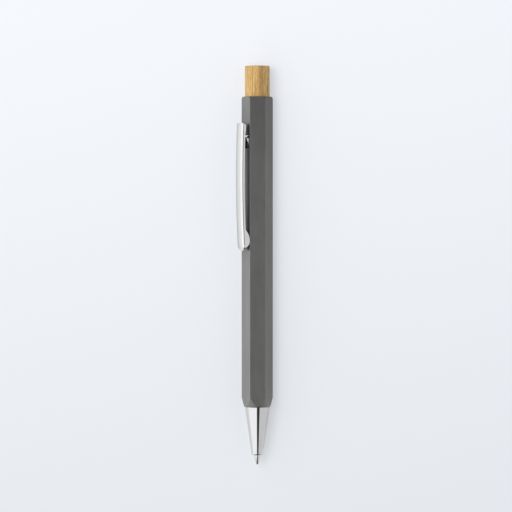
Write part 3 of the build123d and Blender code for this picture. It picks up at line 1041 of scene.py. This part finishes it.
@dataclass
class Clip:
    """Channel folded from sheet, with lobes at its mouth, a rounded tongue and hooks through the slot."""

    width: float = 4.5
    sheet: float = 0.4
    bend_radius: float = 0.7
    crown: float = 0.3
    flange_depth: float = 1.32
    lift_back: float = 2.73
    lift_middle: float = 3.15
    lift_front: float = 2.35
    front_taper: float = 2.6
    front_curl: float = 0.7
    back_round: float = 0.4
    lobe_setback: float = 4.0
    lobe_chord: float = 6.9
    lobe_gap: float = 0.03
    lobe_splay: float = 0.3
    lobe_trim: float = 2.2
    lobe_first_row: int = 5
    bulge_chord: float = 3.6
    bulge_depth: float = 0.2
    across_segments: int = 48
    round_rows: int = 14
    flange_segments: int = 12
    row_length: float = 0.45
    plate_lift: float = 1.1
    notch_depth: float = 0.3
    notch_width: float = 0.3
    nose_lift: float = 0.1
    toe_outer: float = 2.91
    toe_depth: float = 0.4
    hook_reach: float = 1.4
    hook_clearance: float = 0.15
    spur_width: float = 0.8
    spur_gap: float = 0.75
    neck_width: float = 0.22
    plate_inset: float = 0.02
    weld: float = 2e-3
    crease: float = 40.0
    channel_edges: EdgeRound = EdgeRound(0.09, 3, 45.0)
    hook_edges: EdgeRound = EdgeRound(0.06, 2, 30.0)
    finish: Finish = LIT_CLIP_CHROME
    painted_shade_inside: Finish = DULL_PAINTED_SHADE_CHROME

    def __post_init__(self) -> None:
        """Reads the clip's ends from the frame, and where its flanges start."""
        self.front, self.back = reach_along("clip")
        self.flange_front = self._rows()[self.lobe_first_row]

    def build(self) -> None:
        """Builds the folded channel and its hooks."""
        self._channel()
        self._hooks()

    @staticmethod
    def place(across: float, out: float, y: float) -> Vector:
        """Turns clip coordinates into the frame's.

        Args:
            across: Distance across the clip from its middle.
            out: Distance from the pen's axis.
            y: Place along the pen.

        Returns:
            The point.
        """
        return PEN_AXIS + CLIP_ACROSS * across + CLIP_OUT * out + ALONG * y

    def face(self, y: float) -> float:
        """Gives the outer face's distance from the axis on the shallow arc.

        Args:
            y: Place along the pen.

        Returns:
            The distance at the middle of the web.
        """
        share = (2 * y - self.front - self.back) / (self.back - self.front)
        ends_mean = (self.lift_front + self.lift_back) / 2
        lean = (self.lift_back - self.lift_front) / 2
        return AXIS_HEIGHT + self.lift_middle + lean * share + (ends_mean - self.lift_middle) * share**2

    def _curled_face(self, y: float) -> float:
        """Gives the outer face's distance from the axis with the curl of the tongue's end."""
        return self.face(y) - self.front_curl * max(0.0, 1 - (y - self.front) / self.front_taper) ** 2

    def _arc_depth(self, y: float, middle: float, chord: float, depth: float) -> float:
        """Gives how far an arc on a chord stands out.

        Args:
            y: Place along the pen.
            middle: Middle of the chord.
            chord: Length of the chord.
            depth: Height of the arc on its chord.

        Returns:
            The arc's height there, and 0 outside the chord.
        """
        half = chord / 2
        radius = (half**2 + depth**2) / (2 * depth)
        offset = abs(y - middle)
        return max(0.0, math.sqrt(radius**2 - offset**2) - radius + depth) if offset < half else 0.0

    def flange_edge(self, y: float) -> float:
        """Gives the free edge's distance from the axis, with the lobes at the mouth and the bulge at the back.

        Args:
            y: Place along the pen.

        Returns:
            The distance.
        """
        plain = self.face(y) - self.flange_depth
        lobe_middle = self.front + self.lobe_setback
        lobe_depth = self.face(lobe_middle) - self.flange_depth - AXIS_HEIGHT - self.lobe_gap
        lobe = self._arc_depth(y, lobe_middle, self.lobe_chord, lobe_depth)
        bulge = self._arc_depth(y, self.back - self.bulge_chord / 2, self.bulge_chord, self.bulge_depth)
        return plain - lobe - bulge

    def _rows(self) -> list[float]:
        """Lists the rows along the clip, even in angle round the ends' corners.

        Returns:
            The rows' places along the pen, from the front.
        """
        turns = [QUARTER_TURN * i / self.round_rows for i in range(self.round_rows)]
        head = [self.front + self.front_taper * (1 - math.cos(turn)) for turn in turns]
        tail = [self.back - self.back_round * (1 - math.cos(turn)) for turn in reversed(turns)]
        first = self.front + self.front_taper
        last = self.back - self.back_round
        count = round((last - first) / self.row_length)
        return head + [first + (last - first) * i / count for i in range(count)] + [last] + tail

    def _half_width(self, y: float) -> float:
        """Gives half the web's width, which an elliptic tongue narrows in front and rounded corners at the back.

        Args:
            y: Place along the pen.

        Returns:
            The half width.
        """
        half = self.width / 2
        ahead = 1 - (y - self.front) / self.front_taper
        behind = 1 - (self.back - y) / self.back_round
        if ahead > 0:
            half *= math.sqrt(max(0.0, 1 - ahead**2))
        if behind > 0:
            half -= self.back_round * (1 - math.sqrt(max(0.0, 1 - behind**2)))
        return half

    def _web_drop(self, across: float) -> float:
        """Gives how far the web lies below its middle line, by its crown and its bends.

        Args:
            across: Distance across the clip from its middle.

        Returns:
            The drop.
        """
        drop = self.crown * (2 * across / self.width) ** 2
        over = abs(across) - (self.width / 2 - self.bend_radius)
        if over > 0:
            drop += self.bend_radius - math.sqrt(max(0.0, self.bend_radius**2 - over**2))
        return drop

    def _web_point(self, share: float, y: float) -> Vector:
        """Places a point of the web.

        Args:
            share: Place across the unrolled web and bends, from -1 to 1.
            y: Place along the pen.

        Returns:
            The point.
        """
        plain = self.width / 2 - self.bend_radius
        unrolled = abs(share) * (plain + self.bend_radius * QUARTER_TURN)
        across = min(unrolled, plain)
        if unrolled > plain:
            across += self.bend_radius * math.sin((unrolled - plain) / self.bend_radius)
        across *= math.copysign(2 * self._half_width(y) / self.width, share)
        return self.place(across, self._curled_face(y) - self._web_drop(across), y)

    def _flange_point(self, share: float, side: Side, y: float) -> Vector:
        """Places a point of a flange, which is drawn in to the tongue's edge and trimmed round at its front.

        Args:
            share: Place from the bend, -1, to the free edge, 1.
            side: The flange's side.
            y: Place along the pen.

        Returns:
            The point.
        """
        trim = math.sin(QUARTER_TURN * min(1.0, (y - self.flange_front) / self.lobe_trim))
        depth = trim * (share + 1) / 2
        half = self._half_width(y)
        top = self._curled_face(y) - self._web_drop(half)
        out = top + (self.flange_edge(y) - top) * depth
        splay = self.lobe_splay * max(0.0, self.face(y) - self.flange_depth - out)
        draw_in = (self.width / 2 - half) * (1 - depth) ** 2
        return self.place(side.value * (self.width / 2 + splay - draw_in), out, y)

    def _channel(self) -> None:
        """Builds web and flanges from grids, welds them and gives the sheet its thickness."""
        bm = bmesh.new()
        rows = self._rows()
        flange_rows = rows[self.lobe_first_row : len(rows) - self.round_rows]
        for side in (None, *Side):
            places = flange_rows if side else rows
            last = len(places) - 1
            segments = self.flange_segments if side else self.across_segments
            for vert in bmesh.ops.create_grid(bm, x_segments=segments, y_segments=last, size=1.0)["verts"]:
                share = vert.co.x
                y = places[round((vert.co.y + 1) / 2 * last)]
                vert.co = self._flange_point(share, side, y) if side else self._web_point(share, y)
        bmesh.ops.remove_doubles(bm, verts=bm.verts[:], dist=self.weld)
        bmesh.ops.recalc_face_normals(bm, faces=bm.faces[:])
        outermost = max(bm.faces, key=lambda face: face.calc_center_median().dot(CLIP_OUT))
        if outermost.normal.dot(CLIP_OUT) < 0:
            bmesh.ops.reverse_faces(bm, faces=bm.faces[:])
        channel = hand_over("clip_channel", bm, self.finish, Body.CLIP, ["clip"], crease=self.crease)
        wall = channel.modifiers.new("sheet", "SOLIDIFY")
        wall.thickness = self.sheet * MM
        wall.offset = -1.0
        wall.use_even_offset = True
        # The channel's inner faces take the dark copy of the chrome: painted shade inside the clip.
        channel.data.materials.append(self.painted_shade_inside.material("painted_shade_inside"))
        wall.material_offset = 1
        self.channel_edges.soften(channel)

    def _hooks(self) -> None:
        """Builds the two hook plates that hang from the flanges into the slot."""
        bm = bmesh.new()
        slot_front, slot_back = Barrel().slot_ends()
        spur_back = slot_back - 2 * self.hook_clearance
        spur_front = spur_back - self.spur_width
        neck_front = spur_back - self.neck_width
        plate_back = spur_front - self.notch_width
        toe_inner = self.toe_outer - self.toe_depth
        root = self.flange_depth / 2
        plate = [
            (self.flange_edge(spur_back) + root, spur_back),
            (self.flange_edge(spur_front) + root, spur_front),
            (AXIS_HEIGHT + self.spur_gap, spur_front),
            (AXIS_HEIGHT + self.spur_gap, neck_front),
            (AXIS_HEIGHT - self.notch_depth, neck_front),
            (AXIS_HEIGHT - self.notch_depth, plate_back),
            (AXIS_HEIGHT + self.plate_lift, plate_back),
            (AXIS_HEIGHT + self.nose_lift, slot_front + self.hook_reach),
            (self.toe_outer, slot_front + self.hook_clearance),
            (self.toe_outer, slot_front - self.hook_reach),
            (toe_inner, slot_front - self.hook_reach),
            (toe_inner, slot_front),
            (self.toe_outer + self.toe_depth, spur_back),
        ]
        inner = self.width / 2 - self.sheet + self.plate_inset
        thickness = self.sheet - 2 * self.plate_inset
        for side in Side:
            verts = [bm.verts.new(self.place(side.value * inner, out, y)) for out, y in plate]
            drawn = bmesh.ops.extrude_face_region(bm, geom=[bm.faces.new(verts)])["geom"]
            moved = [item for item in drawn if isinstance(item, bmesh.types.BMVert)]
            bmesh.ops.translate(bm, verts=moved, vec=CLIP_ACROSS * (side.value * thickness))
        bmesh.ops.recalc_face_normals(bm, faces=bm.faces[:])
        hooks = hand_over("clip_hooks", bm, self.finish, Body.CLIP)
        self.hook_edges.soften(hooks)


@dataclass
class NoseCone:
    """Turned chromed shell with a rounded end and a threaded spigot that screws into the barrel."""

    end_radius: float = 1.95
    end_cut: float = 0.60
    hole_radius: float = 1.25
    rear_radius: float = 4.41
    edge_break: float = 0.1
    hole_round: float = 0.04
    rear_round: float = 0.05
    shoulder_round: float = 0.03
    spigot_round: float = 0.06
    shoulder_y: float = reach_along("barrel")[0]
    spigot_radius: float = 3.75
    thread_depth: float = 0.28
    thread_sink: float = 0.03
    thread_pitch: float = 0.75
    thread_turns: float = 5.2
    thread_steps: int = 56
    flank_share: float = 0.42
    crest_share: float = 0.15
    relief_width: float = 0.8
    spring_bore_radius: float = 2.45
    spring_seat_depth: float = 7.0
    steps: int = 128
    finish: Finish = CHROME

    def build(self) -> None:
        """Builds the shell and the thread on its spigot."""
        self._shell()
        self._thread()

    def _shell(self) -> None:
        """Turns the shell."""
        front, back = reach_along("nose_cone")
        core = self.spigot_radius - self.thread_depth
        seat = front + self.spring_seat_depth
        profile = [
            Corner(self.hole_radius, front, self.hole_round),
            Corner(self.end_radius, front, self.end_cut),
            Corner(self.rear_radius, self.shoulder_y - self.edge_break, self.rear_round),
            Corner(self.rear_radius - self.edge_break, self.shoulder_y, self.shoulder_round),
            Corner(core, self.shoulder_y),
            Corner(core, back - self.thread_depth, self.spigot_round),
            Corner(core - self.thread_depth, back),
            Corner(self.spring_bore_radius, back, self.spigot_round),
            Corner(self.spring_bore_radius, seat),
            Corner(self.hole_radius, seat),
        ]
        hand_over("nose_shell", turned(profile, self.steps), self.finish, Body.NOSE, ["nose_cone"])

    def _thread(self) -> None:
        """Winds the thread's ridge on the spigot."""
        start = self.shoulder_y + self.relief_width
        root = self.spigot_radius - self.thread_depth - self.thread_sink
        flank = self.thread_pitch * self.flank_share
        corners = [
            (root, start),
            (self.spigot_radius, start + flank * (1 - self.crest_share)),
            (self.spigot_radius, start + flank * (1 + self.crest_share)),
            (root, start + 2 * flank),
        ]
        ridge = wound(corners, self.thread_turns, self.thread_pitch, self.thread_steps)
        hand_over("nose_thread", ridge, self.finish, Body.NOSE)


@dataclass
class Button:
    """Bamboo rod with rounded edges and a faint dome, glued on the plunger's stem, and the click mechanism."""

    radius: float = 4.35
    top_round: float = 0.3
    round_segments: int = 7
    top_dome: float = 0.16
    dome_start: float = 0.9
    dome_steps: int = 6
    foot_round: float = 0.2
    stem_hole_radius: float = 2.02
    stem_hole_depth: float = 10.2
    steps: int = 112
    finish: Finish = SealedBamboo()

    def build(self) -> None:
        """Turns the bamboo rod and dresses the mechanism."""
        front, back = reach_along("bamboo_button")
        profile = [
            Corner(self.stem_hole_radius, front),
            Corner(self.radius, front, self.foot_round),
            Corner(self.radius, back - self.top_dome, self.top_round),
            *self._dome(back),
            Corner(0.0, front + self.stem_hole_depth),
            Corner(self.stem_hole_radius, front + self.stem_hole_depth),
        ]
        rod = turned(profile, self.steps, self.round_segments)
        dress_node("plunger", WHITE_ACETAL)
        dress_node("rotor", WHITE_ACETAL)
        dress_node("cam_sleeve", BLACK_ACETAL)
        hand_over("bamboo_rod", rod, self.finish, Body.BUTTON, ["bamboo_button"])

    def _dome(self, back: float) -> list[Corner]:
        """Rounds the rod's end from near its edge to its middle.

        Args:
            back: The rod's end along the pen.

        Returns:
            The corners of the dome's profile.
        """
        shares = [self.dome_start * (1 - i / self.dome_steps) for i in range(self.dome_steps + 1)]
        return [Corner(self.radius * share, back - self.top_dome * share**2) for share in shares]


@dataclass
class Refill:
    """Plastic refill with its turned tip, ball, ink and follower, and the return spring round it."""

    tip_radius: float = 1.15
    tip_cone_length: float = 3.1
    rim_radius: float = 0.47
    rim_depth: float = 0.24
    ball_radius: float = 0.4
    ball_clearance: float = 0.02
    seat_waist: tuple[float, float] = (0.75, 0.66)
    cone_round: float = 0.12
    edge_round: float = 0.03
    groove_setback: float = 0.5
    groove_depth: float = 0.06
    groove_floor: float = 0.24
    spigot_step: float = 0.12
    spigot_round: float = 0.1
    tip_steps: int = 72
    spring_radius: float = 2.0
    wire: float = 0.4
    spring_turns: int = 11
    wire_sides: int = 12
    coil_steps: int = 40

    def build(self) -> None:
        """Builds tip and spring, and dresses tube, fillings and ball."""
        dress_node("refill_tube", MilkyTube())
        dress_node("ink_column", INK)
        dress_node("grease_follower", GREASE)
        dress_node("writing_ball", LappedCarbide())
        self._tip()
        self._spring()

    def _tip(self) -> None:
        """Turns the tip with its rim, cone, holding groove and spigot."""
        back = reach_along("refill_tip")[1]
        tip_front = reach_along("writing_ball")[0]
        tube_front = reach_along("refill_tube")[0]
        ball_y = tip_front + self.ball_radius
        rim_y = tip_front + self.rim_depth
        seat_radius = self.ball_radius + self.ball_clearance
        lip = math.sqrt(seat_radius**2 - (ball_y - rim_y) ** 2)
        cone_back = tip_front + self.tip_cone_length
        groove_y = cone_back + self.groove_setback * self.tip_cone_length
        groove_radius = self.tip_radius - self.groove_depth
        floor_end = groove_y + self.groove_depth + self.groove_floor
        spigot_radius = self.tip_radius - self.spigot_step
        waist_radius, waist_depth = (seat_radius * share for share in self.seat_waist)
        profile = [
            Corner(lip, rim_y),
            Corner(self.rim_radius, rim_y, self.edge_round),
            Corner(self.tip_radius, cone_back, self.cone_round),
            Corner(self.tip_radius, groove_y),
            Corner(groove_radius, groove_y + self.groove_depth),
            Corner(groove_radius, floor_end),
            Corner(self.tip_radius, floor_end + self.groove_depth),
            Corner(self.tip_radius, tube_front, self.edge_round),
            Corner(spigot_radius, tube_front),
            Corner(spigot_radius, back, self.spigot_round),
            Corner(0.0, back),
            Corner(0.0, ball_y + seat_radius),
            Corner(waist_radius, ball_y + waist_depth),
            Corner(seat_radius, ball_y),
        ]
        hand_over("tip_cone", turned(profile, self.tip_steps), TurnedTip(), Body.REFILL, ["refill_tip"])

    def _spring(self) -> None:
        """Winds the return spring between its seat and the refill, and leaves it on no body."""
        front, back = reach_along("return_spring")
        half = self.wire / 2
        pitch = (back - front - self.wire) / self.spring_turns
        turns = [FULL_TURN * i / self.wire_sides for i in range(self.wire_sides)]
        section = [
            (self.spring_radius + half * math.cos(turn), front + half + half * math.sin(turn)) for turn in turns
        ]
        spring = wound(section, self.spring_turns, pitch, self.coil_steps)
        give = Stretch(Body.BARREL, PEN_AXIS + ALONG * front, PEN_AXIS + ALONG * back)
        hand_over("spring_wire", spring, DrawnWire(), Body.REFILL, ["return_spring"], stretch=give)


# Studio


@dataclass
class Studio:
    """Pale floor under a light tent with a dark gap overhead, a key lamp and the camera above the pen."""

    floor_reach: float = 3000.0
    floor_near: Colour = srgb(225, 228, 233)
    floor_far: Colour = srgb(243, 246, 251)
    gradient_reach: float = 180.0
    shadow_lift: float = 0.58
    clip_dim: float = 0.35
    dim_lead: float = 5.0
    dim_trail: tuple[float, float] = (2.0, 9.0)
    dim_near: float = 9.0
    dim_far: float = 26.0
    gain_far: float = 110.0
    far_gain: float = 0.25
    mirrored_tint: Colour = (1.03, 1.0, 0.955, 1.0)
    card_shade: Colour = (0.46, 0.46, 0.46, 1.0)
    card_pale: Colour = (0.7, 0.7, 0.7, 1.0)
    card_left: float = 7.0
    card_right: float = 80.0
    card_height: float = 0.15
    card_spare: float = 18.0
    card_border: float = 2.0
    tent_shade: Colour = (1.0, 1.0, 1.0, 1.0)
    tent_left: float = 1.2
    tent_right: float = 0.74
    tent_gap: float = 0.05
    gap_left: float = -5.8
    gap_right: float = 20.0
    gap_soft: float = 2.5
    end_near: float = 0.45
    end_far: float = 0.68
    end_loss: float = 0.88
    backdrop: Colour = srgb(240, 243, 248)
    key_place: tuple[float, float, float] = (-330.0, 120.0, 740.0)
    key_size: float = 420.0
    key_power: float = 2.6
    camera_target: tuple[float, float, float] = (-0.44, -1.46, AXIS_HEIGHT)
    camera_distance: float = 900.0
    camera_lean: float = 2.1
    camera_tilt: float = 1.5
    pixels_per_mm: float = 2.8517
    picture_pixels: int = 512
    sensor: float = 36.0
    near_limit: float = 10.0

    def build(self) -> None:
        """Sets up floor, tent, lamp, camera and colour handling."""
        self._floor()
        self._card()
        self._tent()
        self._key()
        self._camera()
        bpy.context.scene.view_settings.view_transform = "Standard"

    def _floor(self) -> None:
        """Lays the floor, paler towards the back, and in reflections dimmer beside the clip and brighter far left."""
        bm = bmesh.new()
        bmesh.ops.create_grid(bm, x_segments=1, y_segments=1, size=self.floor_reach * MM)
        paint, graph = new_material("pale_floor")
        along = graph.axis("Y")
        left = 0.0 - graph.axis("X")
        tone = graph.mix(along.step(-self.gradient_reach, self.gradient_reach), self.floor_near, self.floor_far)
        front, back = reach_along("clip")
        beside = along.step(front - self.dim_lead, front)
        beside = beside * (1.0 - along.step(*(back + trail for trail in self.dim_trail)))
        dim = self.clip_dim * beside * (1.0 - left.step(self.dim_near, self.dim_far))
        is_glossy = graph.ray("Is Glossy Ray")
        level = 1.0 + is_glossy * (self.far_gain * left.step(self.dim_far, self.gain_far) - dim)
        mirrored = graph.mix(is_glossy, tone, graph.mix(1.0, tone, self.mirrored_tint, "MULTIPLY"))
        lit = graph.node("ShaderNodeBsdfDiffuse", {}, {"Color": mirrored.scaled(level)})
        glow = graph.node("ShaderNodeEmission", {}, {"Color": tone})
        share = self.shadow_lift * graph.ray("Is Camera Ray")
        graph.surface(graph.node("ShaderNodeMixShader", {}, {0: share, 1: lit, 2: glow}))
        floor = new_object("floor", bm, paint)

    def _card(self) -> None:
        """Lays a grey card right of the pen, paler beside its nose, which only reflections show: a painted dark
        reflection on the pen's right side.
        """
        shoulder, back = reach_along("barrel")
        front = shoulder - self.card_spare
        back += self.card_spare
        bm = bmesh.new()
        for vert in bmesh.ops.create_grid(bm, x_segments=1, y_segments=1, size=0.5)["verts"]:
            x = self.card_left + (vert.co.x + 0.5) * (self.card_right - self.card_left)
            vert.co = Vector((x, front + (vert.co.y + 0.5) * (back - front), self.card_height)) * MM
        # Painted reflection: the card darkens what the barrel's right face and the nose's right edge mirror.
        paint, graph = new_material("grey_card")
        beside_barrel = graph.axis("Y").step(shoulder - self.card_border, shoulder)
        shade = graph.mix(beside_barrel, self.card_pale, self.card_shade)
        graph.surface(graph.node("ShaderNodeBsdfDiffuse", {}, {"Color": shade}))
        card = new_object("grey_card", bm, paint)
        card.visible_camera = False
        card.visible_diffuse = False
        card.visible_shadow = False
        card.visible_transmission = False

    def _tent(self) -> None:
        """Lights the world as a tent that is brighter on the left, open overhead and dark in its ends' reflections."""
        world = bpy.data.worlds.new("light_tent")
        world.use_nodes = True
        bpy.context.scene.world = world
        graph = Graph(world.node_tree)
        coordinates = graph.node("ShaderNodeTexCoord", output="Generated")
        right = graph.node("ShaderNodeSeparateXYZ", {}, {0: coordinates}, "X")
        along = graph.node("ShaderNodeSeparateXYZ", {}, {0: coordinates}, "Y")
        end = abs(along).step(self.end_near, self.end_far)
        lean = graph.node("ShaderNodeMath", {"operation": "ARCSINE"}, {0: right}) * math.degrees(1.0)
        enters = lean.step(self.gap_left - self.gap_soft, self.gap_left + self.gap_soft)
        leaves = lean.step(self.gap_right - self.gap_soft, self.gap_right + self.gap_soft)
        level = self.tent_left + (self.tent_gap - self.tent_left) * enters
        level = level + (self.tent_right - self.tent_gap) * leaves
        level = level * (1.0 - self.end_loss * end * graph.ray("Is Glossy Ray"))
        tent = graph.node("ShaderNodeBackground", {}, {"Color": self.tent_shade, "Strength": level})
        seen = graph.node("ShaderNodeBackground", {}, {"Color": self.backdrop, "Strength": 1.0})
        graph.surface(graph.node("ShaderNodeMixShader", {}, {0: graph.ray("Is Camera Ray"), 1: tent, 2: seen}))

    def _key(self) -> None:
        """Hangs the soft key lamp at the upper left."""
        lamp = bpy.data.lights.new("key_lamp", "AREA")
        lamp.shape = "DISK"
        lamp.size = self.key_size * MM
        lamp.energy = self.key_power
        key = bpy.data.objects.new("key_lamp", lamp)
        key.location = Vector(self.key_place) * MM
        key.rotation_euler = (-key.location).to_track_quat("-Z", "Y").to_euler()
        key.visible_glossy = False
        bpy.context.scene.collection.objects.link(key)

    def _camera(self) -> None:
        """Hangs the camera above the pen, a little to the clip's side and towards the button."""
        lean = math.radians(self.camera_lean)
        tilt = math.radians(self.camera_tilt)
        away = Vector((-math.sin(lean) * math.cos(tilt), math.sin(tilt), math.cos(lean) * math.cos(tilt)))
        right = ALONG.cross(away).normalized()
        lens = bpy.data.cameras.new("camera")
        lens.sensor_width = self.sensor
        lens.lens = self.sensor * self.pixels_per_mm * self.camera_distance / self.picture_pixels
        lens.clip_start = self.near_limit * MM
        camera = bpy.data.objects.new("camera", lens)
        camera.location = (Vector(self.camera_target) + away * self.camera_distance) * MM
        camera.rotation_euler = Matrix((right, away.cross(right), away)).transposed().to_euler()
        bpy.context.scene.collection.objects.link(camera)
        bpy.context.scene.camera = camera


def main() -> None:
    """Builds the studio and the pen's sub-assemblies in order."""
    logging.basicConfig(level=logging.INFO, format="%(name)s: %(message)s")
    Studio().build()
    Barrel().build()
    Clip().build()
    NoseCone().build()
    Button().build()
    Refill().build()


if __name__ == "__main__":
    main()
